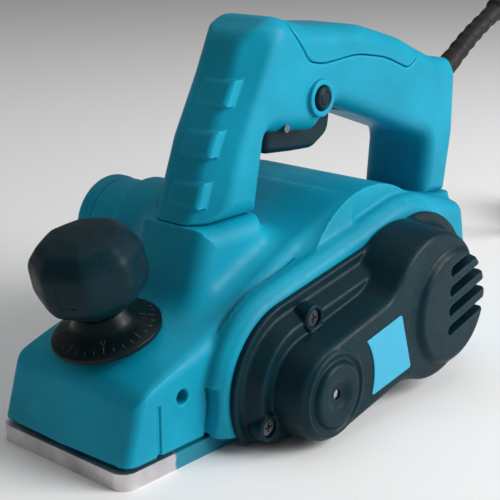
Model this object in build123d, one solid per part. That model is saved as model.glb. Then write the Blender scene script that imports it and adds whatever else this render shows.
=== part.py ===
"""Electric hand planer, 82 mm cut, as an assembly of separate pieces.

Working datum of the source: x runs back from the nose, y runs across from the belt-side edge
of the sole, z runs up from the sole.  Each piece is moved to the part's own frame as it is
written: origin at the middle of the footprint box on the surface the planer stands on,
nose toward -X, belt cover toward -Y, +Z up.
"""
import os
from math import acos, atan2, cos, pi, radians, sin, tan
from build123d import *

# ---------------------------------------------------------------- driving dimensions (mm)
LENGTH = 276.0            # nose of the front shoe to the back of the handle
KNOB_REACH = 4.656        # the depth knob overhangs the nose by this much
SHOE_WIDTH = 84.0         # width of the sole, for an 82 mm blade
BELT_COVER_DEPTH = 41.0   # belt cover face, proud of the sole's belt-side edge
CHUTE_DEPTH = 30.0        # chip chute end, proud of the sole's other edge
HEIGHT = 188.0            # top of the handle above the sole

SOLE_THICK = 8.0
HOUSING_FLOOR = 10.0      # housing's lower edge over the front shoe
SHOE_CLEAR = 0.6          # gap between the front shoe's edge and the flange beside it
SEAT_Z = SOLE_THICK + 0.2 # housing's lower edge over the rear sole
WALL = 3.5                # wall of the plastic housing
MID_Y = SHOE_WIDTH / 2

DRUM_X, DRUM_Z = 97.0, 25.2
DRUM_RADIUS = 22.4
BLADE_RADIUS = 24.7       # circle swept by the blade tips
DRUM_CLEAR = 26.6         # radius of the chamber around the drum
DRUM_SHAFT_R = 6.0
MOTOR_X, MOTOR_Z = 172.0, 48.0
MOTOR_TUNNEL = 36.0
MOTOR_SHAFT_R = 4.5
MOTOR_BODY_R = 54.5       # outside of the housing round the motor
FIT = 0.04                # radial running clearance of shafts in bearings

KNOB_X, KNOB_Z = 31.0, 54.0       # where the knob's axis crosses the scale's face
KNOB_TILT = 16.0                  # the axis leans toward the nose by this angle
KNOB_RADIUS = 26.0
KNOB_LOW, KNOB_HIGH = 13.0, 51.0  # along the axis, above the scale's face
SCALE_RADIUS = 25.5

HANDLE_MID_Y = 40.0
HANDLE_WIDTH = 44.0
FLANGE_Y = -10.0                  # belt-side face of the housing's flange ring
LEDGE_Y = -21.0                   # sunk face of the belt cover
BELT_FACE_Y = -BELT_COVER_DEPTH
CHUTE_X, CHUTE_Z = 100.0, 79.0
CHUTE_RADIUS, CHUTE_BORE = 24.0, 20.5
FENCE_HOLE_X, FENCE_HOLE_Z = 36.0, 33.0
FENCE_HOLE_R = 3.4
FENCE_BOSS = 14.0                 # depth of the boss behind each fence hole

PULLEY_Y0, PULLEY_Y1 = -34.0, -21.0
DRUM_PULLEY_R, MOTOR_PULLEY_R = 17.0, 8.5
BELT_THICK = 2.4

HANDLE_ROUND = 3.0                # rounding of the grip's long edges
GRIP_WALL = 4.0                   # wall of the hollow grip
TRIGGER_PIVOT_X, TRIGGER_PIVOT_Z = 129.0, 135.0
PIN_R = 2.0
PIN_ENDS = (19.5, 60.5)           # the trigger pin sits in both walls of the grip
BUTTON_X, BUTTON_Z = 151.5, 147.0

OVERALL_WIDTH = BELT_COVER_DEPTH + SHOE_WIDTH + CHUTE_DEPTH
CENTRE_Y = OVERALL_WIDTH / 2 - BELT_COVER_DEPTH
TO_PART_FRAME = Location(((KNOB_REACH - LENGTH) / 2, -CENTRE_Y, 0))

# ---------------------------------------------------------------- outlines in side view (x, z)
NOSE_SIDE = [(1, HOUSING_FLOOR), (9, 37), (60, 57), (116, 81), (150, 92), (185, 92), (185, SEAT_Z),
             (104, SEAT_Z), (104, HOUSING_FLOOR)]
NOSE_SIDE_R = [1, 4, 60, 40, 20, 3, 0.5, 0.5, 0.5]
NOSE_INSIDE = [(6, 0), (12, 33), (60, 52), (116, 76), (150, 87), (180, 87), (180, 0)]
TAIL_SIDE = [(150, SEAT_Z), (150, 90), (222, 88), (248, 80), (268, 74), (274, 45), (274, SEAT_Z)]
TAIL_SIDE_R = [0.5, 3, 20, 20, 10, 12, 0.5]
TAIL_INSIDE = [(150, 0), (150, 84), (222, 82), (246, 74), (263, 66), (269, 45), (269, 0)]
FOOT_SIDE = [(56, 52), (70, 97), (109, 97), (118, 80), (122, 60)]
HANDLE_SIDE = [(70, 97), (83, 132), (98, 160), (107, 180), (124, HEIGHT), (146, 182), (190, 178.5), (224, 169),
               (254, 156), (270, 153.5), (276, 146), (276, 112), (270, 78), (247, 78), (250.5, 112),
               (196, 131), (167, 141), (152, 130), (116, 134), (109, 97)]
HANDLE_SIDE_R = [1, 50, 50, 14, 12, 20, 60, 60, 14, 5, 12, 40, 1, 1, 9, 60, 8, 3, 4, 1]
COVER_SEAM = [(138, 200), (131, 182), (136, 175), (144, 165), (155, 163), (182, 165), (206, 161),
              (227, 153), (236, 158), (240, 200)]
COVER_SEAM_R = [1, 6, 12, 10, 30, 60, 60, 7, 6, 1]
RING_CIRCLES = [(95.0, 26.0, 46.0), (192.0, 42.0, 52.0)]
COVER_CIRCLES = [(95.0, 26.0, 39.5), (197.0, 40.0, 45.0)]
BOSS_CIRCLES = [(95.0, 26.0, 22.5), (150.0, 38.0, 23.0)]
CAP_CIRCLE = (177.0, 46.0, 38.0)
COVER_SCREWS = [(100.0, 57.0), (69.0, 13.5), (226.0, 56.0), (226.0, 18.0)]

# ---------------------------------------------------------------- cord
CORD_D = 7.4
GUARD_R = 6.6
COIL_X, COIL_Y = 530.0, 36.0
COIL_MEAN_R = 40.0
PLUG_Y = COIL_Y + 36            # the plug lies on the coil's far side
COIL_LAYERS = 3
GUARD_ROUTE = [(262, 40, 124.5), (296, 40, 142), (328, 40, 163), (356, 40, 174)]
CORD_ROUTE = [(356, 40, 174), (379.3, 40, 183.2), (411, 41, 177.5), (432, 43, 150), (440, 46, 113), (441, 50, 78),
              (446, 56, 42), (461, 64, 14), (490, 76, 4), (511, 80, 3.7), (530, 79.7, 3.7)]

PIECES = {}


# ---------------------------------------------------------------- small helpers
def piece(name, *shapes):
    """Keep one named node, made of one or more separate solids."""
    PIECES[name] = list(shapes)


def rod(x, z, y0, y1, radius):
    """Cylinder along Y between two stations."""
    turned = Plane(origin=(x, y0, z), x_dir=(1, 0, 0), z_dir=(0, 1, 0))
    return extrude(turned * Circle(radius), y1 - y0)


def ring(x, z, y0, y1, outer, inner):
    """Hollow cylinder along Y."""
    return rod(x, z, y0, y1, outer) - rod(x, z, y0 - 1, y1 + 1, inner)


def slab(x0, x1, y0, y1, z0, z1):
    """Box between two corners."""
    return Pos((x0 + x1) / 2, (y0 + y1) / 2, (z0 + z1) / 2) * Box(x1 - x0, y1 - y0, z1 - z0)


def side_face(y, sketch):
    """A side-view sketch in (x, z), stood up at station y, facing the belt side."""
    return Plane(origin=(0, y, 0), x_dir=(1, 0, 0), z_dir=(0, -1, 0)) * sketch


def side_plate(points, y0, y1, radii=None):
    """Side-view outline, corners rounded by radii, extruded across from y0 to y1."""
    if radii is None:
        wire = Polyline(*points, close=True)
    else:
        wire = FilletPolyline(*points, radius=radii, close=True)
    return extrude(side_face(y1, make_face(wire)), y1 - y0)


def around_circles(circles, grow=0.0):
    """Face drawn tightly round a row of circles (x, z, radius)."""
    face = Sketch()
    for x, z, r in circles:
        face += Pos(x, z) * Circle(r + grow)
    for (x0, z0, r0), (x1, z1, r1) in zip(circles, circles[1:]):
        gap = ((x1 - x0) ** 2 + (z1 - z0) ** 2) ** 0.5
        turn = atan2(z1 - z0, x1 - x0)
        lean = acos((r0 - r1) / gap)
        corners = []
        for x, z, r, sign in ((x0, z0, r0, 1), (x1, z1, r1, 1), (x1, z1, r1, -1), (x0, z0, r0, -1)):
            angle = turn + sign * lean
            corners.append((x + (r + grow) * cos(angle), z + (r + grow) * sin(angle)))
        face += make_face(Polyline(*corners, close=True))
    return face


def circles_plate(circles, y0, y1, grow=0.0):
    """The face round a row of circles, extruded across from y0 to y1."""
    return extrude(side_face(y1, around_circles(circles, grow)), y1 - y0)


def knob_plane(height):
    """Plane square to the knob's axis, at a height above the scale's face."""
    lean = radians(KNOB_TILT)
    axis = Vector(-sin(lean), 0, cos(lean))
    origin = Vector(KNOB_X, MID_Y, KNOB_Z) + axis * height
    return Plane(origin=origin, x_dir=(cos(lean), 0, sin(lean)), z_dir=axis)


def knob_rod(z0, z1, radius):
    """Cylinder along the knob's axis."""
    return extrude(knob_plane(z0) * Circle(radius), z1 - z0)


def across_screw(x, z, y_head, y_tip, head_r, shank_r, head_h):
    """Round-headed screw along Y, head at y_head, with a cross slot in the head."""
    step = 1 if y_tip > y_head else -1
    y_neck = y_head + step * head_h
    low, high = min(y_head, y_neck), max(y_head, y_neck)
    screw = rod(x, z, low, high, head_r)
    screw += rod(x, z, min(y_neck, y_tip), max(y_neck, y_tip), shank_r)
    depth = head_h * 0.5
    y_slot = (y_head - 0.1, y_head + depth) if step > 0 else (y_head - depth, y_head + 0.1)
    for w, h in ((head_r * 1.2, 0.9), (0.9, head_r * 1.2)):
        screw -= slab(x - w / 2, x + w / 2, y_slot[0], y_slot[1], z - h / 2, z + h / 2)
    return screw


def helical_spring(plane, radius, wire, height, pitch):
    """Compression spring standing on a plane."""
    coil = Helix(pitch=pitch, height=height, radius=radius)
    section = Plane(origin=coil @ 0, z_dir=coil % 0) * Circle(wire / 2)
    return plane.location * sweep(section, path=coil, is_frenet=True)


# ---------------------------------------------------------------- sole and frame
def make_front_shoe():
    plate = Pos(52, MID_Y, 0) * extrude(RectangleRounded(104, SHOE_WIDTH, 7), SOLE_THICK)
    plate &= slab(0, 92, 0, SHOE_WIDTH, 0, SOLE_THICK)
    boss = knob_rod(-46, -22, 9) & slab(0, 90, 0, SHOE_WIDTH, SOLE_THICK - 1, 60)
    shoe = plate + boss
    shoe -= rod(DRUM_X, DRUM_Z, -1, SHOE_WIDTH + 1, DRUM_CLEAR)
    shoe -= knob_rod(-42, -20, 4.0)
    piece("front_shoe", shoe)


def make_base_frame():
    plate = Pos((96 + 275) / 2, MID_Y, 0) * extrude(RectangleRounded(275 - 96, SHOE_WIDTH, 9), SOLE_THICK)
    plate &= slab(100, 275, 0, SHOE_WIDTH, 0, SOLE_THICK)
    belt_cheek = side_plate([(74, 13), (74, 44), (98, 52), (150, 64), (196, 64), (196, 13)], -9, -1,
                            [6, 8, 10, 10, 16, 6])
    belt_foot = slab(110, 190, -9, 2, 3, 14)
    far_cheek = side_plate([(76, 13), (76, 40), (84, 46), (112, 46), (120, 30), (120, 13)], 85, 93,
                           [5, 5, 5, 5, 5, 5])
    far_foot = slab(110, 119, 82, 93, 3, 14)
    roof = ring(DRUM_X, DRUM_Z, -1, 85, DRUM_CLEAR + 2.6, DRUM_CLEAR)
    roof &= slab(DRUM_X + 8, DRUM_X + 40, -1, 85, 5, 60)
    frame = plate + belt_cheek + belt_foot + far_cheek + far_foot + roof
    frame -= rod(DRUM_X, DRUM_Z, -1.0, 85.0, DRUM_CLEAR)
    frame -= rod(DRUM_X, DRUM_Z, -9.1, -1.5, 14)
    frame -= rod(DRUM_X, DRUM_Z, -12, 95, 9)
    frame -= rod(DRUM_X, DRUM_Z, 85.5, 93.1, 14)
    frame -= rod(MOTOR_X, MOTOR_Z, -9.1, -1.5, 11)
    frame -= rod(MOTOR_X, MOTOR_Z, -12, 2, 7)
    frame -= rod(MOTOR_X, MOTOR_Z, 0, 84, MOTOR_TUNNEL + 3)
    piece("base_frame", frame)


# ---------------------------------------------------------------- housing and handle
def make_main_housing():
    outer = side_plate(NOSE_SIDE, 0, SHOE_WIDTH, NOSE_SIDE_R)
    outer += side_plate(TAIL_SIDE, 4, SHOE_WIDTH - 2, TAIL_SIDE_R)
    outer += rod(MOTOR_X, MOTOR_Z, 0, 97, MOTOR_BODY_R) & slab(100, 240, 0, 97, SEAT_Z, 120)
    outer += side_plate([(10, 34), (31, 51), (62, 62), (104, 82), (104, 40)], 14, SHOE_WIDTH - 14)
    outer += circles_plate(RING_CIRCLES, FLANGE_Y, 1) & slab(40, 250, FLANGE_Y, 1, SEAT_Z, 120)
    outer -= slab(0, 104, -SHOE_CLEAR, 2, 0, HOUSING_FLOOR)
    outer += rod(CHUTE_X, CHUTE_Z, 60, SHOE_WIDTH + 2, CHUTE_RADIUS + 3)
    outer += rod(DRUM_X, DRUM_Z + 4, 80, 96, 27) & slab(60, 140, 80, 96, SEAT_Z, 60)
    outer += side_plate(FOOT_SIDE, HANDLE_MID_Y - 24, HANDLE_MID_Y + 24)
    outer += slab(247, 270, HANDLE_MID_Y - HANDLE_WIDTH / 2, HANDLE_MID_Y + HANDLE_WIDTH / 2, 60, 78)

    housing = outer - side_plate(NOSE_INSIDE, WALL, SHOE_WIDTH - WALL)
    housing -= side_plate(TAIL_INSIDE, WALL + 4, SHOE_WIDTH - WALL - 2)
    housing -= side_plate(HANDLE_SIDE, HANDLE_MID_Y - 30, HANDLE_MID_Y + 24, HANDLE_SIDE_R)
    housing -= circles_plate(COVER_CIRCLES, FLANGE_Y - 1, -0.6, -3)
    housing -= slab(66, 236, FLANGE_Y - 1, WALL + 1, 2, 26)
    housing -= rod(DRUM_X, DRUM_Z, FLANGE_Y - 1, 85.5, DRUM_CLEAR + 3.2)
    housing -= rod(MOTOR_X, MOTOR_Z, -2, 94, MOTOR_TUNNEL)
    housing -= side_plate([(75, 0), (75, 42), (83, 48), (114, 48), (122, 32), (122, 0)], 84, 94)
    housing -= rod(CHUTE_X, CHUTE_Z, 64, SHOE_WIDTH, CHUTE_BORE - 0.5)
    housing -= rod(CHUTE_X, CHUTE_Z, SHOE_WIDTH - 2, SHOE_WIDTH + 20, CHUTE_RADIUS)
    housing -= knob_rod(-40, 20, 7.0)
    housing -= knob_rod(-0.5, 30, SCALE_RADIUS + 0.6)
    for y_out, y_in in ((0, FENCE_BOSS), (SHOE_WIDTH, SHOE_WIDTH - FENCE_BOSS)):
        low, high = min(y_out, y_in), max(y_out, y_in)
        housing += rod(FENCE_HOLE_X, FENCE_HOLE_Z, low + 1, high - 1, FENCE_HOLE_R + 3.2)
        housing -= rod(FENCE_HOLE_X, FENCE_HOLE_Z, low - 2, high + 2, FENCE_HOLE_R)
    piece("main_housing", housing)


def handle_solid():
    """The whole hand grip before it is parted: column, top bar and rear post."""
    y0 = HANDLE_MID_Y - HANDLE_WIDTH / 2
    solid = side_plate(HANDLE_SIDE, y0, y0 + HANDLE_WIDTH, HANDLE_SIDE_R)
    sides = solid.faces().filter_by(Axis.Y)
    rims = [e for f in sides for e in f.edges() if e.bounding_box().max.Z > 98.5 and e.bounding_box().min.Z > 78.5]
    return fillet(rims, HANDLE_ROUND)


def grip_hollow():
    """The space inside the grip, a wall's thickness in from its outline."""
    y0 = HANDLE_MID_Y - HANDLE_WIDTH / 2 + GRIP_WALL
    face = make_face(FilletPolyline(*HANDLE_SIDE, radius=HANDLE_SIDE_R, close=True))
    inside = offset(face, -GRIP_WALL, kind=Kind.INTERSECTION)
    return extrude(side_face(y0 + HANDLE_WIDTH - 2 * GRIP_WALL, inside), HANDLE_WIDTH - 2 * GRIP_WALL)


def make_handle():
    solid = handle_solid()
    cover_zone = side_plate(COVER_SEAM, 0, SHOE_WIDTH, COVER_SEAM_R)
    room = grip_hollow()
    trigger_room = slab(121, 186, 29.4, 50.6, 118, 146)
    shell = solid - cover_zone - room - trigger_room
    shell -= rod(BUTTON_X, BUTTON_Z, 10, 30, 6.3)
    shell += ring(BUTTON_X, BUTTON_Z, 15.6, 18.6, 9.2, 6.3)
    shell -= cord_hole()
    shell -= rod(TRIGGER_PIVOT_X, TRIGGER_PIVOT_Z, *PIN_ENDS, PIN_R)
    piece("handle_shell", shell)
    piece("handle_cover", (solid & cover_zone) - room)


def cord_hole():
    """Bore through the back of the handle that grips the cord guard."""
    start = Vector(*GUARD_ROUTE[0])
    along = (Vector(*GUARD_ROUTE[1]) - start).normalized()
    return extrude(Plane(origin=start, z_dir=along) * Circle(GUARD_R), 30)


def make_depth_knob():
    """Scale ring, knob, and the bolt that both turn on."""
    ring_face = extrude(knob_plane(0) * Circle(SCALE_RADIUS), 3.2)
    neck = loft([knob_plane(3.2) * Circle(17), knob_plane(KNOB_LOW) * Circle(11)])
    piece("depth_scale", ring_face + neck - knob_rod(-1, 30, 5.0))

    profile = FilletPolyline((0, KNOB_LOW), (12, KNOB_LOW), (24, 22), (KNOB_RADIUS, 30), (25.5, 42), (19, 49.5),
                             (0, KNOB_HIGH), radius=[1, 8, 14, 14, 8, 8, 1], close=True)
    knob = revolve(Plane.XZ * make_face(profile), Axis.Z)
    for i in range(8):
        turn = 2 * pi * (i + 0.5) / 8
        reach = KNOB_RADIUS + 10.5
        knob -= Pos(reach * cos(turn), reach * sin(turn), 30) * Cylinder(12, 50)
    knob -= Cylinder(5.0, 2 * (KNOB_LOW + 22))
    piece("depth_knob", knob_plane(0).location * knob)

    bolt = knob_rod(-0.2, KNOB_LOW + 20, 5.0) + knob_rod(-40, -0.2, 4.0 - FIT)
    piece("adjuster_bolt", bolt)
    piece("adjuster_spring", helical_spring(knob_plane(-19.0), 6.0, 1.4, 12.0, 4.0))


# ---------------------------------------------------------------- switch and cord
def make_switch_parts():
    trigger = side_plate([(124, 140), (126, 121), (164, 118), (176, 126), (178, 139), (168, 141)], 30, 50,
                         [2, 3, 6, 8, 2, 2])
    trigger -= rod(TRIGGER_PIVOT_X, TRIGGER_PIVOT_Z, 29, 51, PIN_R + FIT)
    piece("trigger", trigger)
    piece("trigger_pin", rod(TRIGGER_PIVOT_X, TRIGGER_PIVOT_Z, *PIN_ENDS, PIN_R))
    piece("lock_button", rod(BUTTON_X, BUTTON_Z, 14.0, 23.5, 5.9) + rod(BUTTON_X, BUTTON_Z, 23.5, 25, 2.0))
    piece("switch_body", slab(134, 196, 29, 51, 150, 168))


# ---------------------------------------------------------------- cutter drum
def make_drum():
    drum = rod(DRUM_X, DRUM_Z, 1, 83, DRUM_RADIUS)
    blades, clamps, screws = [], [], []
    for side in (1, -1):
        x_in, x_out = DRUM_X + side * 9.5, DRUM_X + side * 30.0
        z_low, z_high = DRUM_Z - side * 2.0, DRUM_Z + side * 12.0
        drum -= slab(min(x_in, x_out), max(x_in, x_out), 0, 84, min(z_low, z_high), max(z_low, z_high))
        tip = DRUM_X + side * (BLADE_RADIUS - 0.2)
        heel = DRUM_X + side * 9.6
        z_back, z_edge = DRUM_Z - side * 2.0, DRUM_Z - side * 0.9
        blades.append(slab(min(heel, tip), max(heel, tip), 1, 83, min(z_back, z_edge), max(z_back, z_edge)))
        z_top = DRUM_Z + side * 7.5
        clamp = slab(min(x_in, x_in + side * 11), max(x_in, x_in + side * 11), 2, 82,
                     min(z_edge, z_top), max(z_edge, z_top))
        for y in (14, MID_Y, 70):
            hole = Pos(x_in + side * 5, y, (z_edge + z_top) / 2) * Cylinder(2.6, 20)
            clamp -= hole
            head_z = z_top - side * 2.5
            screw = Pos(x_in + side * 5, y, (z_edge + head_z) / 2) * Cylinder(2.5, abs(head_z - z_edge))
            screws.append(screw)
        clamps.append(clamp)
    drum -= rod(DRUM_X, DRUM_Z, 0, 84, DRUM_SHAFT_R)
    piece("cutter_drum", drum)
    piece("drum_shaft", rod(DRUM_X, DRUM_Z, -38, 94, DRUM_SHAFT_R))
    piece("cutter_blades", *blades)
    piece("blade_clamps", *clamps)
    piece("blade_screws", *screws)


def make_bearings():
    piece("drum_bearings",
          ring(DRUM_X, DRUM_Z, -9, -1.5, 14, DRUM_SHAFT_R + FIT),
          ring(DRUM_X, DRUM_Z, 85.5, 93, 14, DRUM_SHAFT_R + FIT))
    piece("motor_bearings",
          ring(MOTOR_X, MOTOR_Z, -9, -1.5, 11, MOTOR_SHAFT_R + FIT),
          ring(MOTOR_X, MOTOR_Z, 85, 92, 11, MOTOR_SHAFT_R + FIT))


# ---------------------------------------------------------------- motor
def make_motor():
    piece("armature_shaft", rod(MOTOR_X, MOTOR_Z, -36, 93, MOTOR_SHAFT_R))
    core = ring(MOTOR_X, MOTOR_Z, 28, 60, 19, MOTOR_SHAFT_R)
    for i in range(12):
        angle = 2 * pi * i / 12
        core -= rod(MOTOR_X + 18 * cos(angle), MOTOR_Z + 18 * sin(angle), 27, 61, 1.6)
    piece("armature_core", core)
    commutator = ring(MOTOR_X, MOTOR_Z, 68, 81, 12, MOTOR_SHAFT_R)
    piece("commutator", commutator)

    fan = ring(MOTOR_X, MOTOR_Z, 5, 7, 30, MOTOR_SHAFT_R) + ring(MOTOR_X, MOTOR_Z, 7, 15, 9, MOTOR_SHAFT_R)
    for i in range(10):
        vane = Pos(19.5, 0, 0) * Box(19, 1.6, 9)
        turn = Plane(origin=(MOTOR_X, 10.5, MOTOR_Z), x_dir=(cos(2 * pi * i / 10), 0, sin(2 * pi * i / 10)),
                     z_dir=(0, -1, 0))
        fan += turn.location * vane
    piece("cooling_fan", fan)

    stator = ring(MOTOR_X, MOTOR_Z, 26, 62, 34, 20.2)
    for x in (MOTOR_X - 26, MOTOR_X + 26):
        stator -= slab(x - 5, x + 5, 25, 63, MOTOR_Z - 9, MOTOR_Z + 9)
    piece("stator_core", stator)
    coils = []
    for x in (MOTOR_X - 26, MOTOR_X + 26):
        coils.append(slab(x - 4.8, x + 4.8, 21, 67, MOTOR_Z - 8.8, MOTOR_Z + 8.8))
    piece("field_coils", *coils)

    bracket = ring(MOTOR_X, MOTOR_Z, 85, 93.8, MOTOR_TUNNEL - 0.1, 30) + ring(MOTOR_X, MOTOR_Z, 85, 92, 15, 11)
    for i in range(3):
        turn = Plane(origin=(MOTOR_X, 90, MOTOR_Z), x_dir=(cos(2 * pi * i / 3 + 0.5), 0, sin(2 * pi * i / 3 + 0.5)),
                     z_dir=(0, -1, 0))
        bracket += turn.location * Pos(23, 0, 0) * Box(18, 7, 4)
    piece("bearing_bracket", bracket)

    holders, brushes, springs = [], [], []
    for side in (1, -1):
        z_in, z_out = MOTOR_Z + side * 13.5, MOTOR_Z + side * 33
        tube = slab(MOTOR_X - 6, MOTOR_X + 6, 69, 80, min(z_in, z_out), max(z_in, z_out))
        tube -= slab(MOTOR_X - 4, MOTOR_X + 4, 71, 78, min(z_in, z_out) - 1, max(z_in, z_out) + 1)
        holders.append(tube)
        b_in, b_out = MOTOR_Z + side * 12.4, MOTOR_Z + side * 24
        brushes.append(slab(MOTOR_X - 3.9, MOTOR_X + 3.9, 71.1, 77.9, min(b_in, b_out), max(b_in, b_out)))
        s_in, s_out = MOTOR_Z + side * 24, MOTOR_Z + side * 32.5
        springs.append(slab(MOTOR_X - 2, MOTOR_X + 2, 72.5, 76.5, min(s_in, s_out), max(s_in, s_out)))
    piece("brush_holders", *holders)
    piece("carbon_brushes", *brushes)
    piece("brush_springs", *springs)


# ---------------------------------------------------------------- belt drive
def make_belt_drive():
    pulley = rod(DRUM_X, DRUM_Z, PULLEY_Y0, PULLEY_Y1, DRUM_PULLEY_R)
    pulley += ring(DRUM_X, DRUM_Z, PULLEY_Y1 - 1.2, PULLEY_Y1, DRUM_PULLEY_R + 1.6, DRUM_SHAFT_R)
    pulley += rod(DRUM_X, DRUM_Z, PULLEY_Y1, -10, 10)
    pulley -= rod(DRUM_X, DRUM_Z, -40, 0, DRUM_SHAFT_R)
    piece("drum_pulley", pulley)
    piece("motor_pulley", ring(MOTOR_X, MOTOR_Z, PULLEY_Y0, PULLEY_Y1, MOTOR_PULLEY_R, MOTOR_SHAFT_R)
          + ring(MOTOR_X, MOTOR_Z, PULLEY_Y1, -10, 7.5, MOTOR_SHAFT_R))
    nut = extrude(side_face(-34, Pos(DRUM_X, DRUM_Z) * RegularPolygon(8.5, 6)), 3.5)
    piece("pulley_nut", nut - rod(DRUM_X, DRUM_Z, -40, -30, DRUM_SHAFT_R))
    row = [(DRUM_X, DRUM_Z, DRUM_PULLEY_R + 0.1), (MOTOR_X, MOTOR_Z, MOTOR_PULLEY_R + 0.1)]
    belt = circles_plate(row, PULLEY_Y0 + 1, PULLEY_Y1 - 1.4, BELT_THICK)
    belt -= circles_plate(row, PULLEY_Y0, PULLEY_Y1)
    piece("drive_belt", belt)


def make_belt_cover():
    cap_x, cap_z, cap_r = CAP_CIRCLE
    rim = circles_plate(COVER_CIRCLES, -13, FLANGE_Y - 0.1)
    wall = circles_plate(COVER_CIRCLES, LEDGE_Y, -13, -5)
    boss = circles_plate(BOSS_CIRCLES, -38, LEDGE_Y)
    boss += rod(BOSS_CIRCLES[0][0], BOSS_CIRCLES[0][1], BELT_FACE_Y, -38, 17)
    cap = rod(cap_x, cap_z, BELT_FACE_Y, LEDGE_Y, cap_r)
    cap = fillet(cap.edges().filter_by(GeomType.CIRCLE).sort_by(Axis.Y)[0], 4)
    cover = rim + wall + boss + cap
    cover &= slab(40, 260, -60, 0, 3.5, 120)
    cover -= circles_plate(COVER_CIRCLES, LEDGE_Y + 2.5, 0, -8)
    drive = [(DRUM_X, DRUM_Z, DRUM_PULLEY_R + 3.6), (MOTOR_X, MOTOR_Z, MOTOR_PULLEY_R + 4.5)]
    cover -= circles_plate(drive, PULLEY_Y0 - 1.5, 0)
    cover -= rod(DRUM_X, DRUM_Z, -39.2, 0, 11)
    cover -= rod(cap_x, cap_z, -38.5, 0, cap_r - 4)
    for x, z in COVER_SCREWS:
        cover += rod(x, z, LEDGE_Y + 1, FLANGE_Y + 0.8, 4.6)
        cover -= rod(x, z, -60, 0, 2.1)
        cover -= rod(x, z, -60, LEDGE_Y + 2.2, 4.3)
    for i in range(4):
        slot = Pos(cap_x + 24, BELT_FACE_Y, cap_z + 18 - 10 * i) * Rot(0, -14, 0) * Box(28, 6, 5)
        cover -= slot
    piece("belt_cover", cover)
    screws = [across_screw(x, z, LEDGE_Y + 0.2, -9.2, 3.9, 2.0, 2.0) for x, z in COVER_SCREWS]
    piece("cover_screws", *screws)


def make_far_side():
    chute = ring(CHUTE_X, CHUTE_Z, SHOE_WIDTH - 2, SHOE_WIDTH + CHUTE_DEPTH, CHUTE_RADIUS - 0.1, CHUTE_BORE)
    piece("chip_chute", chute)


# ---------------------------------------------------------------- power cord
def corner_radii(points):
    """Largest easy radius at each inner point of a route."""
    radii = []
    for a, b, c in zip(points, points[1:], points[2:]):
        u, v = Vector(*b) - Vector(*a), Vector(*c) - Vector(*b)
        half = radians(u.get_angle(v)) / 2
        radii.append(0.45 * min(u.length, v.length) / tan(half))
    return radii


def tube(points, radius):
    """Round tube along straight runs joined by tangent arcs."""
    radii = corner_radii(points)
    path = FilletPolyline(*points, radius=radii)
    start = Plane(origin=path @ 0, z_dir=path % 0)
    solid = sweep(start * Circle(radius), path=path)
    print("route radii", [round(r) for r in radii], "length", round(path.length),
          "volume ratio", round(solid.volume / (path.length * pi * radius ** 2), 4))
    return solid


def make_cord():
    guard = tube(GUARD_ROUTE, GUARD_R)
    end = Vector(*GUARD_ROUTE[-1])
    along = (end - Vector(*GUARD_ROUTE[-2])).normalized()
    bead = Plane(origin=end - along * 8, z_dir=along)
    guard += extrude(bead * Circle(7.4), 8)
    piece("cord_guard", guard)
    piece("power_cord", tube(CORD_ROUTE, CORD_D / 2))
    coil = Pos(COIL_X, COIL_Y, 0) * extrude(Circle(COIL_MEAN_R + CORD_D) - Circle(COIL_MEAN_R - CORD_D),
                                            COIL_LAYERS * CORD_D)
    piece("cord_coil", coil)
    top = COIL_LAYERS * CORD_D
    body = extrude(Pos(COIL_X, PLUG_Y, top) * RectangleRounded(38, 26, 6), 18)
    for y in (-9.5, 9.5):
        turned = Plane(origin=(COIL_X + 10, PLUG_Y + y, top + 9), z_dir=(1, 0, 0))
        body += extrude(turned * Circle(2.4), 28)
    piece("mains_plug", body)


def write_parts():
    os.makedirs("parts", exist_ok=True)
    for name, shapes in PIECES.items():
        placed = [TO_PART_FRAME * shape for shape in shapes]
        whole = Compound(children=placed) if len(placed) > 1 else placed[0]
        export_step(whole, f"parts/{name}.step")


if __name__ == "__main__":
    make_front_shoe()
    make_base_frame()
    make_main_housing()
    make_handle()
    make_depth_knob()
    make_switch_parts()
    make_drum()
    make_bearings()
    make_motor()
    make_belt_drive()
    make_belt_cover()
    make_far_side()
    make_cord()
    write_parts()
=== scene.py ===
"""Looks of the electric hand planer: sculpted shells, fine detail, materials, light and camera.

Lengths inside the shape functions are millimetres from the nose corner of the sole: x runs back,
y runs across from the belt side, z runs up.  place() turns them into the model's own frame.
"""
from math import cos, pi, radians, sin, sqrt, tan

import bpy
import numpy as np
from mathutils import Matrix, Vector


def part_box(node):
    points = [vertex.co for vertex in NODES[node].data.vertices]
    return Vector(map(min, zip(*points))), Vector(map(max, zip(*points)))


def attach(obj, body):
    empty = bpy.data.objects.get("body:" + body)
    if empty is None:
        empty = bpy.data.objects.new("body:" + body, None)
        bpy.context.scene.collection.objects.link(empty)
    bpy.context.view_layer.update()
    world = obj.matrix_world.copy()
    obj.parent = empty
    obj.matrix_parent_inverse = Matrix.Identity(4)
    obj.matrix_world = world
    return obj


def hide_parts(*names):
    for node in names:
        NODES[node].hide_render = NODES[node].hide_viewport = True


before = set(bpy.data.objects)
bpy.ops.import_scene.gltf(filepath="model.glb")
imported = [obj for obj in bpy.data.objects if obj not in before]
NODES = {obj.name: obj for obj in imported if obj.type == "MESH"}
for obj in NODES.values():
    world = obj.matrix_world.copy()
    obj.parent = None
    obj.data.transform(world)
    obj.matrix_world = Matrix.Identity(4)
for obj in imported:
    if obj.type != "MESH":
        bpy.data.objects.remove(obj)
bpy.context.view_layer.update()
NOSE = np.array(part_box("front_shoe")[0], dtype=float)
ROOT = "planer_body"

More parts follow.
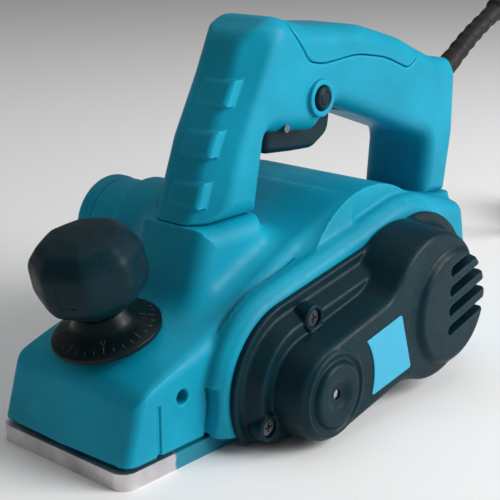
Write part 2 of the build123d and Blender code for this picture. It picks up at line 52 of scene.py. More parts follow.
# places on the machine's side, as (x, z) in mm
DRUM = (97.0, 25.2)
MOTOR = (172.0, 48.0)
FENCE_HOLE = (36.0, 33.0)
CAP = (177.0, 46.0)
BOSS = (95.5, 26.0)
TRIGGER_PIVOT = (129.0, 135.0)
CHUTE = (100.0, 79.0)
BUTTON = (151.5, 147.0)
BODY_MID, BODY_HALF = 42.0, 42.0     # middle and half the width of the body, across
GRIP_MID = 40.0                      # middle of the grip, across
SOLE_TOP = 8.2                       # housing's lower edge over the rear sole


def place(points):
    """Points in the working datum, in mm, as points of the model's frame, in metres."""
    return np.asarray(points, dtype=float) / 1000 + NOSE


# ------------------------------------------------------------------ camera
LENS, SENSOR = 87.7, 36.0
CAMERA_AT = (-309.997, -344.823, 249.025)
AZIMUTH, ELEVATION = -48.5316, 17.0


def make_camera():
    """The photograph's viewpoint, solved from the sole's edges and the outline."""
    data = bpy.data.cameras.new("photo_camera")
    data.sensor_width, data.lens = SENSOR, LENS
    data.clip_start, data.clip_end = 0.01, 20
    cam = bpy.data.objects.new("photo_camera", data)
    bpy.context.scene.collection.objects.link(cam)
    a, e = radians(AZIMUTH), radians(ELEVATION)
    right = Vector((cos(a), sin(a), 0))
    back = Vector((sin(a) * cos(e), -cos(a) * cos(e), sin(e)))
    up = back.cross(right)
    turn = Matrix((right, up, back)).transposed()
    cam.matrix_world = Matrix.Translation(Vector(place(CAMERA_AT))) @ turn.to_4x4()
    bpy.context.scene.camera = cam


make_camera()


# ------------------------------------------------------------------ distance shapes
def high_of(a, b):
    """Intersection with a sharp edge."""
    return np.maximum(a, b)


def join(a, b, k):
    """Union with a fillet about k wide."""
    h = np.maximum(k - np.abs(a - b), 0) / k
    return np.minimum(a, b) - h * h * k / 4


def meet(a, b, k):
    """Intersection with an eased edge about k wide."""
    return -join(-a, -b, k)


def cut(a, b, k=1.0):
    """a without b, with an eased rim."""
    return meet(a, -b, k)


def round_meet(a, b, r):
    """Intersection whose edge is a round of radius r."""
    u, v = np.maximum(a + r, 0), np.maximum(b + r, 0)
    return np.minimum(np.maximum(a, b), -r) + np.sqrt(u * u + v * v)


def span(v, low, high):
    """Distance to the slab low < v < high."""
    return np.abs(v - (low + high) / 2) - (high - low) / 2


def disc(x, z, cx, cz, r):
    """Distance to a round bar across the machine."""
    return np.sqrt((x - cx) ** 2 + (z - cz) ** 2) - r


def outline(points, x, z):
    """Distance to a closed outline in (x, z), negative inside."""
    pts = np.asarray(points, dtype=float)
    x, z = np.broadcast_arrays(np.asarray(x, dtype=float), np.asarray(z, dtype=float))
    best = np.full(x.shape, 1e9)
    inside = np.zeros(x.shape, dtype=bool)
    for (ax, az), (bx, bz) in zip(pts, np.roll(pts, 1, axis=0)):
        ex, ez = bx - ax, bz - az
        wx, wz = x - ax, z - az
        t = np.clip((wx * ex + wz * ez) / (ex * ex + ez * ez + 1e-12), 0, 1)
        best = np.minimum(best, (wx - ex * t) ** 2 + (wz - ez * t) ** 2)
        if abs(ez) > 1e-9:
            between = (az > z) != (bz > z)
            inside ^= between & (x < ex * wz / ez + ax)
    return np.where(inside, -1.0, 1.0) * np.sqrt(best)


def rounded(points, radii, steps=7):
    """An outline with each corner turned into an arc of its own radius."""
    pts = [np.array(p, dtype=float) for p in points]
    out = []
    for i, (p, r) in enumerate(zip(pts, radii)):
        a, b = pts[i - 1] - p, pts[(i + 1) % len(pts)] - p
        la, lb = np.linalg.norm(a), np.linalg.norm(b)
        a, b = a / la, b / lb
        half = np.arccos(np.clip(a @ b, -1, 1)) / 2
        reach = min(r / tan(half), 0.48 * la, 0.48 * lb) if half < 1.56 else 0
        if reach < 0.3:
            out.append(p)
            continue
        for t in np.linspace(0, 1, steps):
            out.append((1 - t) ** 2 * (p + a * reach) + 2 * t * (1 - t) * p + t * t * (p + b * reach))
    return np.array(out)


def capsule(x, z, first, last):
    """Distance to the tight outline round two circles (x, z, r)."""
    (x0, z0, r0), (x1, z1, r1) = first, last
    gap = sqrt((x1 - x0) ** 2 + (z1 - z0) ** 2)
    ux, uz = (x1 - x0) / gap, (z1 - z0) / gap
    along = (x - x0) * ux + (z - z0) * uz
    side = np.abs(-(x - x0) * uz + (z - z0) * ux)
    b = (r0 - r1) / gap
    a = sqrt(1 - b * b)
    k = along * a - side * b
    d = side * a + along * b - r0
    d = np.where(k < 0, np.sqrt(side ** 2 + along ** 2) - r0, d)
    return np.where(k > a * gap, np.sqrt(side ** 2 + (along - gap) ** 2) - r1, d)


# ------------------------------------------------------------------ distance shape to mesh
def slopes(shape, p, h=0.05):
    """Gradient of a distance shape at each point."""
    out = np.empty_like(p)
    for axis in range(3):
        step = np.zeros(3)
        step[axis] = h
        q, s = p + step, p - step
        out[:, axis] = (shape(q[:, 0], q[:, 1], q[:, 2]) - shape(s[:, 0], s[:, 1], s[:, 2])) / (2 * h)
    return out


def surface(shape, low, high, step):
    """Vertices and quads on the zero surface of a distance shape (surface nets, then pulled onto it)."""
    low = np.asarray(low, dtype=float) - 2.0 * step
    count = np.ceil((np.asarray(high, dtype=float) + 2.0 * step - low) / step).astype(int) + 1
    axes = [low[i] + step * np.arange(count[i]) for i in range(3)]
    field = shape(axes[0][:, None, None], axes[1][None, :, None], axes[2][None, None, :])
    field = np.ascontiguousarray(np.broadcast_to(field, tuple(count))).astype(np.float32)
    inner = field < 0
    corners = [(i, j, k) for i in (0, 1) for j in (0, 1) for k in (0, 1)]

    def part(a, i, j, k):
        return a[i:a.shape[0] - 1 + i, j:a.shape[1] - 1 + j, k:a.shape[2] - 1 + k]

    total = sum(part(inner, *c).astype(np.int8) for c in corners)
    active = (total > 0) & (total < 8)
    cells = np.argwhere(active)
    number = np.full(active.shape, -1, dtype=np.int64)
    number[active] = np.arange(len(cells))
    where_sum = np.zeros((len(cells), 3))
    hits = np.zeros(len(cells))
    for axis in range(3):
        others = [i for i in range(3) if i != axis]
        for u in (0, 1):
            for v in (0, 1):
                start = np.zeros(3, dtype=int)
                start[others[0]], start[others[1]] = u, v
                end = start.copy()
                end[axis] = 1
                d0 = part(field, *start)[active]
                d1 = part(field, *end)[active]
                crosses = (d0 < 0) != (d1 < 0)
                t = np.where(crosses, d0 / np.where(crosses, d0 - d1, 1), 0)
                spot = np.broadcast_to(start.astype(float), (len(cells), 3)).copy()
                spot[:, axis] = t
                where_sum += spot * crosses[:, None]
                hits += crosses
    points = low + step * (cells + where_sum / hits[:, None])
    quads = []
    for axis in range(3):
        sel = [slice(1, -1)] * 3
        sel[axis] = slice(0, -1)
        far = list(sel)
        far[axis] = slice(1, None)
        s0, s1 = inner[tuple(sel)], inner[tuple(far)]
        differ = s0 != s1
        ring = []
        order = ((0, 0), (1, 0), (1, 1), (0, 1))
        others = [i for i in range(3) if i != axis]
        for u, v in order:
            pick = [slice(None)] * 3
            pick[others[0]] = slice(u, number.shape[others[0]] - 1 + u)
            pick[others[1]] = slice(v, number.shape[others[1]] - 1 + v)
            ring.append(number[tuple(pick)][differ])
        quad = np.stack(ring, axis=1)
        turn_over = s0[differ] if axis != 1 else ~s0[differ]
        quad[~turn_over] = quad[~turn_over][:, ::-1]
        quads.append(quad)
    quads = np.concatenate(quads)
    for _ in range(3):
        g = slopes(shape, points)
        value = shape(points[:, 0], points[:, 1], points[:, 2])
        shift = value[:, None] * g / np.maximum((g * g).sum(1), 0.05)[:, None]
        size = np.linalg.norm(shift, axis=1, keepdims=True)
        points -= shift * np.minimum(1, 0.6 * step / np.maximum(size, 1e-9))
    return points, quads


def shape_piece(name, shape, low, high, step=1.0, body=ROOT):
    """A mesh piece on the surface of a distance shape, with normals taken from the shape itself."""
    points, quads = surface(shape, low, high, step)
    normals = slopes(shape, points, 0.12)
    normals /= np.maximum(np.linalg.norm(normals, axis=1, keepdims=True), 1e-9)
    mesh = bpy.data.meshes.new(name)
    mesh.from_pydata(place(points).tolist(), [], quads.tolist())
    mesh.polygons.foreach_set("use_smooth", [True] * len(mesh.polygons))
    mesh.update()
    mesh.normals_split_custom_set_from_vertices(normals.tolist())
    return keep(name, mesh, body)


def keep(name, mesh, body=ROOT):
    """A mesh as a piece that rides on a body."""
    obj = bpy.data.objects.new(name, mesh)
    bpy.context.scene.collection.objects.link(obj)
    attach(obj, body)
    return obj


# ------------------------------------------------------------------ the knob's own axis
TILT = radians(16.0)
KNOB_FOOT = np.array([31.0, 42.0, 54.0])
KNOB_UP = np.array([-sin(TILT), 0, cos(TILT)])
KNOB_BACK = np.array([cos(TILT), 0, sin(TILT)])


def knob_frame(x, y, z):
    """Height along the knob's axis and distance from it."""
    dx, dy, dz = x - KNOB_FOOT[0], y - KNOB_FOOT[1], z - KNOB_FOOT[2]
    height = dx * KNOB_UP[0] + dz * KNOB_UP[2]
    back = dx * KNOB_BACK[0] + dz * KNOB_BACK[2]
    return height, np.sqrt(back * back + dy * dy)


# ------------------------------------------------------------------ main housing
SHOULDER = ([-5, 1, 9, 18, 27, 37, 47, 54, 61, 67, 73, 94, 116, 150],
            [29, 33, 37.5, 41.5, 44.8, 48, 51.2, 54, 57, 59.8, 63, 72.5, 82, 92])
TAIL_SIDE = rounded([(150, SOLE_TOP), (150, 90), (222, 88), (248, 80), (268, 74), (274, 45), (274, SOLE_TOP)],
                    [1, 3, 20, 20, 10, 12, 1])
FOOT_SIDE = rounded([(57, 48), (69.5, 97), (109.5, 97), (117, 84), (124, 60)], [1, 1, 1, 14, 1])
RING = ((95, 26, 46), (192, 42, 52))
COVER = ((95, 26, 39.5), (197, 40, 45))


def nose_block(x, y, z):
    """Wedge over the front shoe, with its crown, chamfered shoulders and sloped front."""
    across = np.clip((y - BODY_MID) / BODY_HALF, -1, 1)
    crown = np.interp(x, [5, 31, 60], [2.0, 6.0, 6.0])
    top = np.interp(x, *SHOULDER) + crown * (1 - across ** 2)
    above = (z - top) * 0.92
    side = np.abs(y - BODY_MID) - BODY_HALF
    leg = np.interp(x, [9, 30, 75, 120], [0.4, 1.8, 4.5, 6.0])
    d = meet(high_of(above, side), (above + side + leg) * 0.7071, 1.6)
    front = (1.0 + (z - 10) * 0.3 + 1.3 * across ** 2 - x) * 0.958
    d = round_meet(d, front, 4.5)
    return high_of(high_of(d, 10 - z), x - 150)


def flange_ring(x, y, z):
    """Bevelled ring that frames the belt cover."""
    edge = capsule(x, z, *RING)
    d = high_of(edge, span(y, -10, 1))
    d = meet(d, (edge - y - 5) * 0.7071, 1.8)
    return high_of(d, SOLE_TOP - z)


def housing(x, y, z):
    """Nose, motor drum, tail, spout and column foot as one shell, then what is cut out of it."""
    d = nose_block(x, y, z)
    deck = round_meet(disc(x, z, *MOTOR, 54.5), y - 97, 15)
    deck = high_of(high_of(deck, -y), SOLE_TOP - z)
    d = join(d, deck, 10)
    tail = round_meet(outline(TAIL_SIDE, x, z), span(y, 4, 82), 7)
    d = join(d, tail, 8)
    bulge = round_meet(disc(x, z, 97, 29.2, 31.5), span(y, 60, 96), 7)
    d = join(d, high_of(bulge, SOLE_TOP - z), 9)
    spout = round_meet(disc(x, z, *CHUTE, 27), span(y, 62, 87), 3)
    d = join(d, spout, 9)
    foot = round_meet(outline(FOOT_SIDE, x, z), np.abs(y - GRIP_MID) - 24, 10)
    foot = round_meet(foot, z - 97, 0.8)
    d = join(d, foot, 9)
    base = round_meet(round_meet(span(x, 244, 273), np.abs(y - GRIP_MID) - 24, 7), z - 78, 0.8)
    d = join(d, high_of(base, 60 - z), 7)
    d = join(d, flange_ring(x, y, z), 2.5)
    shoe_room = high_of(high_of(span(x, -2, 104), span(y, -0.6, 84.6)), z - 10)
    d = high_of(d, -shoe_room)

    for at in (21.5, 50.5):
        groove = high_of(high_of(span(x, at - 0.9, at + 0.9), span(z, 5, 33)), 41.0 - np.abs(y - BODY_MID))
        d = cut(d, groove, 0.8)
    for low, high in ((-3, 14), (70, 87)):
        d = cut(d, high_of(disc(x, z, *FENCE_HOLE, 3.4), span(y, low, high)), 0.8)
    height, out = knob_frame(x, y, z)
    d = cut(d, high_of(out - 26.1, span(height, -0.5, 30)), 0.8)
    d = high_of(d, -high_of(out - 7, span(height, -40, 20)))
    d = high_of(d, -high_of(out - 11, span(height, -60, -19)))
    d = cut(d, high_of(disc(x, z, *CHUTE, 24), 81.5 - y), 0.6)
    d = high_of(d, -high_of(disc(x, z, *CHUTE, 19.5), span(y, 66, 90)))
    d = high_of(d, -high_of(disc(x, z, *DRUM, 29.8), span(y, -11, 85.5)))
    d = high_of(d, -high_of(disc(x, z, *MOTOR, 36), span(y, -2, 94)))
    d = high_of(d, -high_of(capsule(x, z, *COVER) + 3, span(y, -11, -0.6)))
    d = high_of(d, -high_of(high_of(span(x, 66, 236), span(y, -11, 4.5)), span(z, 2, 26)))
    d = high_of(d, -high_of(high_of(span(x, 75, 122), span(y, 84, 94)), span(z, 2, 48)))
    return d


# ------------------------------------------------------------------ handle
HANDLE_SIDE = rounded(
    [(70, 97), (83, 132), (98, 160), (107, 180), (124, 188), (146, 182), (190, 178.5), (224, 169),
     (254, 156), (270, 153.5), (276, 146), (276, 112), (270, 78), (247, 78), (250.5, 112), (196, 131),
     (167, 141), (152, 130), (116, 134), (109, 97)],
    [1, 50, 50, 14, 12, 20, 60, 60, 14, 5, 12, 40, 1, 1, 9, 60, 8, 3, 4, 1])
SEAM = rounded([(138, 200), (131, 182), (136, 175), (144, 165), (155, 163), (182, 165), (206, 161), (227, 153),
                (236, 158), (240, 200)], [1, 6, 12, 10, 30, 60, 60, 7, 6, 1])
COLUMN = ([90, 97, 132, 160, 172, 180], [67.5, 70, 83, 98, 103.5, 107])
PADS = ((149, 161), (127, 139), (104.5, 116.5))     # heights of the grip pads
GUARD_START = np.array([262, 40, 124.5])
GUARD_ALONG = np.array([34, 0, 17.5]) / sqrt(34 ** 2 + 17.5 ** 2)


def grip(x, y, z):
    """The whole hand grip: faceted column, rounded top bar, rear post."""
    side = np.abs(y - GRIP_MID) - 22
    r = np.interp(x, [108, 130, 240, 262], [10.0, 10.5, 9.0, 6.5])
    d = round_meet(outline(HANDLE_SIDE, x, z), side, r)
    front = (np.interp(z, *COLUMN) - x) * 0.92
    d = meet(d, (front + side + 12) * 0.7071, 2.5)
    for low, high in PADS:
        pad = meet(front - 1.1, span(z, low, high), 1.2)
        pad = meet(pad, (front - 1.1 + span(z, low, high) + 1.4) * 0.7071, 0.8)
        edge = span(y, 25, 45)
        pad = meet(high_of(pad, edge), (front - 1.1 + edge + 1.8) * 0.7071, 0.8)
        d = join(d, high_of(pad, -front - 12), 0.6)
    return d


def shell(x, y, z):
    """The grip less its insert, with the button's collar, the trigger's room and the cord's bore."""
    d = grip(x, y, z)
    d = join(d, round_meet(disc(x, z, *BUTTON, 9.2), span(y, 15.6, 24), 0.9), 1.2)
    d = cut(d, high_of(disc(x, z, *BUTTON, 6.3), span(y, 8, 30)), 0.9)
    d = cut(d, outline(SEAM, x, z) - 0.2, 1.0)
    room = high_of(high_of(span(x, 121, 186), span(y, 29.4, 50.6)), span(z, 110, 146))
    d = high_of(d, -room)
    px, py, pz = x - GUARD_START[0], y - GUARD_START[1], z - GUARD_START[2]
    along = px * GUARD_ALONG[0] + pz * GUARD_ALONG[2]
    away = np.sqrt(np.maximum(px ** 2 + py ** 2 + pz ** 2 - along ** 2, 0))
    return cut(d, high_of(away - 6.9, -along), 0.9)


def grip_insert(x, y, z):
    """The panel let into the top of the grip."""
    d = grip(x, y, z)
    d = meet(d, outline(SEAM, x, z) + 0.2, 1.0)
    return high_of(d, -high_of(high_of(span(x, 129, 200), span(y, 26, 54)), span(z, 140, 172)))


# ------------------------------------------------------------------ belt cover
def slot_cut(x, y, z, z0):
    """One cooling slot: a slim tunnel that rises toward the back and runs out at the cap's edge."""
    a, b = (187.0, z0), (226.0, z0 + 39 * tan(radians(14)))
    ex, ez = b[0] - a[0], b[1] - a[1]
    t = np.clip(((x - a[0]) * ex + (z - a[1]) * ez) / (ex * ex + ez * ez), 0, 1)
    line = np.sqrt((x - a[0] - ex * t) ** 2 + (z - a[1] - ez * t) ** 2) - 2.6
    return high_of(line, span(y, -50, -34.5))


SCREWS = ((100.0, 57.0), (69.0, 13.5), (226.0, 56.0), (226.0, 18.0))


def belt_cover(x, y, z):
    """Rim, sunk ledge, raised plateau, ridged boss and slotted cap."""
    edge = capsule(x, z, *COVER)
    rim = round_meet(edge, span(y, -13, -6), 1.2)
    wall = high_of(((edge + 5) * 8 + (-13 - y) * 4) / 8.94, edge + 5.0)
    wall = round_meet(wall, span(y, -21, -5), 1.2)
    d = join(rim, wall, 1.5)
    deck = capsule(x, z, (95, 26, 24.0), (150, 38, 24.5))
    cap = disc(x, z, *CAP, 39.0)
    plateau = join(deck, cap, 8)
    drafted = (plateau * 17 + (-21 - y) * 1.6) / 17.1
    plateau = round_meet(drafted, span(y, -38, -10), 3.0)
    d = join(d, plateau, 1.6)
    boss = disc(x, z, *BOSS, 0.0)
    ridge = np.sqrt((boss - 19.5) ** 2 + (y + 38.0) ** 2) - 1.1
    d = join(d, ridge, 1.5)
    d = join(d, round_meet(boss - 15.5, span(y, -41, -30), 2.6), 1.5)
    d = cut(d, np.sqrt(boss ** 2 + (y + 52.0) ** 2) - 13.4, 1.2)
    dome = round_meet(disc(x, z, 189, 43.5, 29.5), span(y, -41, -30), 3.4)
    d = join(d, dome, 2.5)
    for i in range(4):
        d = cut(d, slot_cut(x, y, z, 31.5 + 10.4 * i), 1.2)
    for sx, sz in SCREWS:
        d = join(d, round_meet(disc(x, z, sx, sz, 6.6), span(y, -22.2, -14), 0.8), 0.8)
        d = cut(d, high_of(disc(x, z, sx, sz, 4.3), span(y, -60, -18.8)), 0.7)
        d = high_of(d, -high_of(disc(x, z, sx, sz, 2.1), span(y, -60, 0)))
    d = high_of(d, 3.5 - z)
    drive = ((*DRUM, 20.6), (*MOTOR, 13.0))
    d = high_of(d, -high_of(capsule(x, z, *drive), -y - 35.5))
    d = high_of(d, -high_of(disc(x, z, *CAP, 33), -y - 35.2))
    d = high_of(d, -high_of(edge + 12, -y - 18.5))
    return high_of(d, -high_of(disc(x, z, *DRUM, 11), -y - 38.4))


def label_plate(x, y, z):
    """Plain label, hollowed on one side to clear the boss."""
    face = outline(rounded([(115, 44), (146, 50.3), (155.2, 21), (124, 16)], [1.5, 1.5, 1.5, 1.5]), x, z)
    face = high_of(face, 29.5 - disc(x, z, *BOSS, 0.0))
    return round_meet(face, span(y, -38.45, -37.8), 0.2)


def trigger_shape(x, y, z):
    """Curved trigger blade with its pivot bore."""
    side = rounded([(124.4, 139), (126, 121), (146, 119.3), (163, 118.4), (175.5, 125), (177.6, 139),
                    (168, 140.8)], [2, 4, 30, 10, 9, 2, 2])
    d = round_meet(outline(side, x, z), np.abs(y - GRIP_MID) - 9.8, 3.6)
    return cut(d, disc(x, z, *TRIGGER_PIVOT, 2.2), 0.4)


# ------------------------------------------------------------------ chute, knob, scale, button
def chute_shape(x, y, z):
    """Chip outlet tube with a lip and a groove."""
    out = disc(x, z, *CHUTE, 0.0)
    d = round_meet(out - 23.4, span(y, 82, 114), 1.4)
    d = join(d, round_meet(out - 23.9, span(y, 108.5, 113.4), 1.0), 0.8)
    d = cut(d, high_of(np.abs(out - 23.4) - 0.5, span(y, 104.2, 105.4)), 0.5)
    return cut(d, out - 20.6, 1.0)


KNOB_SIDE = rounded([(-8, 12), (12, 13), (24, 22), (26, 30), (25.5, 42), (19, 49.5), (8, 51), (-8, 51)],
                    [1, 6, 10, 12, 9, 8, 6, 1])
SCALE_SIDE = rounded([(-8, 0), (25.5, 0), (25.5, 2.4), (23.4, 3.6), (15, 6.6), (11.6, 13), (-8, 13)],
                     [1, 0.6, 0.8, 2, 7, 1, 1])
FACETS = 8


def around_knob(x, y, z):
    """Angle about the knob's axis."""
    dx, dz = x - KNOB_FOOT[0], z - KNOB_FOOT[2]
    return np.arctan2(y - KNOB_FOOT[1], dx * KNOB_BACK[0] + dz * KNOB_BACK[2])


def knob_shape(x, y, z):
    """Turned knob with eight flats and a shallow pocket in every other one."""
    height, out = knob_frame(x, y, z)
    step = 2 * pi / FACETS
    local = np.mod(around_knob(x, y, z), step) - step / 2
    flat = out * np.cos(local)
    d = outline(KNOB_SIDE, meet(out, flat / 0.95, 1.2), height)
    plain_flat = np.mod(np.floor(around_knob(x, y, z) / step), 2) * 9      # pushes the pocket off odd flats
    pocket = high_of(high_of(np.abs(out * np.sin(local)) - 4.2 + plain_flat, span(height, 28, 38)), 23.9 - flat)
    return cut(d, pocket, 0.7)


def scale_shape(x, y, z):
    """Flared scale cone under the knob."""
    height, out = knob_frame(x, y, z)
    return outline(SCALE_SIDE, out, height)


def on_scale(u, r, angle):
    """Point on the scale's cone, a hair proud of it: u along the rim, r from the axis."""
    height = np.interp(r, [11.6, 15, 23.4, 25.5], [13, 6.6, 3.6, 2.5]) + 0.14
    outward = cos(angle) * KNOB_BACK + sin(angle) * np.array([0, 1, 0])
    along = -sin(angle) * KNOB_BACK + cos(angle) * np.array([0, 1, 0])
    return KNOB_FOOT + KNOB_UP * height + outward * r + along * u


def scale_marks():
    """Printed ticks and plain numbers round the rim of the scale."""
    points, faces = [], []
    for i in range(32):
        inner = 19.6 if i % 4 == 0 else 21.4
        first = len(points)
        for r in np.linspace(inner, 23.2, 5):
            points += [on_scale(u, r, 2 * pi * i / 32) for u in (-0.26, 0.26)]
        faces += [(first + 2 * k, first + 2 * k + 2, first + 2 * k + 3, first + 2 * k + 1) for k in range(4)]
    for i in range(4):
        text = bpy.data.curves.new("digit", "FONT")
        text.body, text.size, text.align_x = str(i), 4.4, "CENTER"
        holder = bpy.data.objects.new("digit", text)
        bpy.context.scene.collection.objects.link(holder)
        flat = bpy.data.meshes.new_from_object(holder.evaluated_get(bpy.context.evaluated_depsgraph_get()))
        first = len(points)
        points += [on_scale(-v.co.x, 18.8 - v.co.y, 2 * pi * (i / 4 + 0.625)) for v in flat.vertices]
        faces += [tuple(first + k for k in face.vertices) for face in flat.polygons]
        bpy.data.objects.remove(holder)
    mesh = bpy.data.meshes.new("scale_marks")
    mesh.from_pydata(place(points).tolist(), [], faces)
    return keep("scale_marks", mesh, "depth_adjuster")


def button_shape(x, y, z):
    """Domed lock-off button with a ring groove."""
    out = disc(x, z, *BUTTON, 0.0)
    d = round_meet(out - 5.8, span(y, 14.1, 24), 2.0)
    return cut(d, np.sqrt((out - 3.4) ** 2 + (y - 14.1) ** 2) - 0.45, 0.5)


# ------------------------------------------------------------------ cord
CORD_D = 7.4
COIL_X, COIL_Y = 530.0, 36.0
OUTER, INNER = 43.7, 36.3
TURN_POINTS = 14
GUARD_ROUTE = [(262, 40, 124.5), (296, 40, 142), (328, 40, 163), (356, 40, 174)]
CORD_ROUTE = [(356, 40, 174), (379.3, 40, 183.2), (411, 41, 177.5), (432, 43, 150), (440, 46, 113),
              (441, 50, 78), (446, 56, 42), (461, 64, 14), (490, 76, 4), (511, 80, 3.7), (530, 79.7, 3.7)]
TO_PLUG = [(501, 10.9, 26), (488.2, 20.3, 26.6), (481.4, 34.8, 27.6), (482.4, 50.7, 29), (491, 64.2, 30.4),
           (505, 72, 31.2), (513, 72, 31.2)]
SHIFT, CLIMB = 50, 60                # degrees taken to change track, and to climb a layer
LAP = 720 - SHIFT - CLIMB            # a layer's two turns, less the room its moves need under the next
WOUND = 2016                         # degrees in the coil


def moves_done(wound, first, width):
    """How many of the coil's track changes or climbs are over, in parts."""
    return sum(np.clip((wound - first - LAP * k) / width, 0, 1) for k in range(3))


def coil_points():
    """Turns two to a layer, clockwise from the outer track.

    Each climb is clear of the turn that crosses under it.
    """
    points = []
    step = 360 / TURN_POINTS
    reach = 1 / cos(pi / TURN_POINTS)
    for i in range(1, int(WOUND / step) + 1):
        wound = i * step
        inward = 1 - abs(moves_done(wound, 360 - SHIFT, SHIFT) % 2 - 1)
        layer = moves_done(wound, 720 - SHIFT - CLIMB, CLIMB)
        r = (OUTER + (INNER - OUTER) * inward) * reach
        at = radians(90 - wound)
        points.append((COIL_X + r * cos(at), COIL_Y + r * sin(at), CORD_D * (layer + 0.5)))
    return points


def route_curve(name, route, radius):
    """A smooth round line through space with the route's points as its control points."""
    curve = bpy.data.curves.new(name, "CURVE")
    curve.dimensions = "3D"
    spline = curve.splines.new("NURBS")
    spline.points.add(len(route) - 1)
    for point, at in zip(spline.points, place(route)):
        point.co = (*at, 1)
        point.radius = radius / 1000
    spline.order_u = 3
    spline.use_endpoint_u = True
    curve.resolution_u = 10
    curve.bevel_depth = 1.0 if radius else 0.0
    curve.bevel_resolution = 6
    return curve


def sleeve(name, route, radius_at, rings=150, sides=36):
    """A round sleeve along a route, its radius given by the share of the way along."""
    line = bpy.data.objects.new("line", route_curve("line", route, 0))
    bpy.context.scene.collection.objects.link(line)
    flat = bpy.data.meshes.new_from_object(line.evaluated_get(bpy.context.evaluated_depsgraph_get()))
    way = np.array([v.co for v in flat.vertices])
    bpy.data.objects.remove(line)
    run = np.concatenate([[0], np.cumsum(np.linalg.norm(np.diff(way, axis=0), axis=1))])
    share = np.linspace(0, 1, rings)
    centre = np.stack([np.interp(share * run[-1], run, way[:, i]) for i in range(3)], axis=1)
    along = np.gradient(centre, axis=0)
    along /= np.linalg.norm(along, axis=1, keepdims=True)
    side = np.cross(along, [0, 1, 0])
    side /= np.linalg.norm(side, axis=1, keepdims=True)
    other = np.cross(along, side)
    turn = np.linspace(0, 2 * pi, sides, endpoint=False)
    r = np.array([radius_at(t) for t in share])[:, None, None] / 1000
    rim = np.cos(turn)[None, :, None] * side[:, None] + np.sin(turn)[None, :, None] * other[:, None]
    points = (centre[:, None] + r * rim).reshape(-1, 3)
    faces = [(i * sides + k, i * sides + (k + 1) % sides,
              (i + 1) * sides + (k + 1) % sides, (i + 1) * sides + k)
             for i in range(rings - 1) for k in range(sides)]
    faces += [tuple(reversed(range(sides))), tuple((rings - 1) * sides + k for k in range(sides))]
    mesh = bpy.data.meshes.new(name)
    mesh.from_pydata(points.tolist(), [], faces)
    mesh.polygons.foreach_set("use_smooth", [True] * len(mesh.polygons))
    return keep(name, mesh)


def guard_radius(t):
    """Tapered sleeve with shallow ribs in its middle and a bead at its end."""
    body = 6.6 - 1.3 * t
    if 0.45 < t < 0.86:
        body -= 0.55 * (0.5 - 0.5 * cos(2 * pi * (t - 0.45) / 0.082))
    if t > 0.93:
        body += 1.9 * sin(pi * min(1, (t - 0.93) / 0.07)) ** 0.7
    return body


PLUG = (530.0, 72.0, 31.2)


def plug_shape(x, y, z):
    """Moulded two-pin plug: waisted body, finger ridges, a collar where the cord goes in."""
    dx, dy, dz = x - PLUG[0], y - PLUG[1], z - PLUG[2]
    half = np.interp(dx, [-19, -10, 0, 12, 19], [6.8, 9.0, 10.6, 12.8, 12.9])
    thick = np.interp(dx, [-19, 0, 19], [6.6, 8.2, 8.8])
    d = round_meet(round_meet(np.abs(dy) - half, np.abs(dz) - thick, 4.2), np.abs(dx) - 18.9, 2.0)
    for i in range(5):
        ridge = np.sqrt((dx + 9 - 4 * i) ** 2 + (np.abs(dy) - half) ** 2) - 0.9
        d = cut(d, ridge, 0.8)
    return cut(d, high_of(np.sqrt(dy ** 2 + dz ** 2) - 3.75, dx + 12), 0.6)


def pin_shape(x, y, z):
    """The plug's two round-nosed pins."""
    dx, dy, dz = x - PLUG[0], y - PLUG[1], z - PLUG[2]
    out = np.sqrt((np.abs(dy) - 9.5) ** 2 + dz ** 2)
    return round_meet(out - 2.3, span(dx, 17, 37.8), 1.6)


# ------------------------------------------------------------------ pieces
def shape_for(name, shape, low, high, step, node, body=ROOT):
    """A piece riding on a body, standing for a CAD node, which it hides, unless node is None."""
    obj = shape_piece(name, shape, low, high, step, body)
    if node:
        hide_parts(node)
    return obj


main_housing = shape_for("housing_skin", housing, (0, -11, 7), (275, 98, 107), 1.0, "main_housing")
handle = shape_for("handle_skin", shell, (66, 14, 77), (278, 63, 190), 0.9, "handle_shell")
insert = shape_for("handle_insert", grip_insert, (130, 17, 150), (240, 63, 188), 0.9, "handle_cover")
cover = shape_for("belt_cover_skin", belt_cover, (54, -42, 3), (243, -5, 86), 0.8, "belt_cover")
label = shape_for("plain_label", label_plate, (112, -39, 12), (158, -37, 53), 0.35, None)
trigger = shape_for("trigger_blade", trigger_shape, (123, 29, 117), (179, 51, 142), 0.8, "trigger",
                    "trigger_lever")
chute = shape_for("chute_tube", chute_shape, (75, 81, 54), (125, 115, 104), 0.8, "chip_chute")
knob = shape_for("knob_cap", knob_shape, (-6, 15, 62), (49, 69, 108), 0.7, "depth_knob",
                 "depth_adjuster")
scale = shape_for("scale_cone", scale_shape, (4, 16, 46), (57, 68, 71), 0.6, "depth_scale",
                  "depth_adjuster")
button = shape_for("button_cap", button_shape, (145, 13, 140), (158, 25, 154), 0.35, "lock_button",
                   "lock_off")
plug = shape_for("plug_body", plug_shape, (510, 58, 21), (550, 86, 41), 0.5, "mains_plug")
pins = shape_for("plug_pins", pin_shape, (545, 59, 28), (569, 85, 35), 0.3, None)
marks = scale_marks()
guard = sleeve("guard_sleeve", GUARD_ROUTE, guard_radius)
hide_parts("cord_guard")
whole_cord = CORD_ROUTE + coil_points() + TO_PLUG
cord = bpy.data.objects.new("mains_cord", route_curve("mains_cord", whole_cord, CORD_D / 2))
bpy.context.scene.collection.objects.link(cord)
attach(cord, ROOT)
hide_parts("power_cord", "cord_coil")


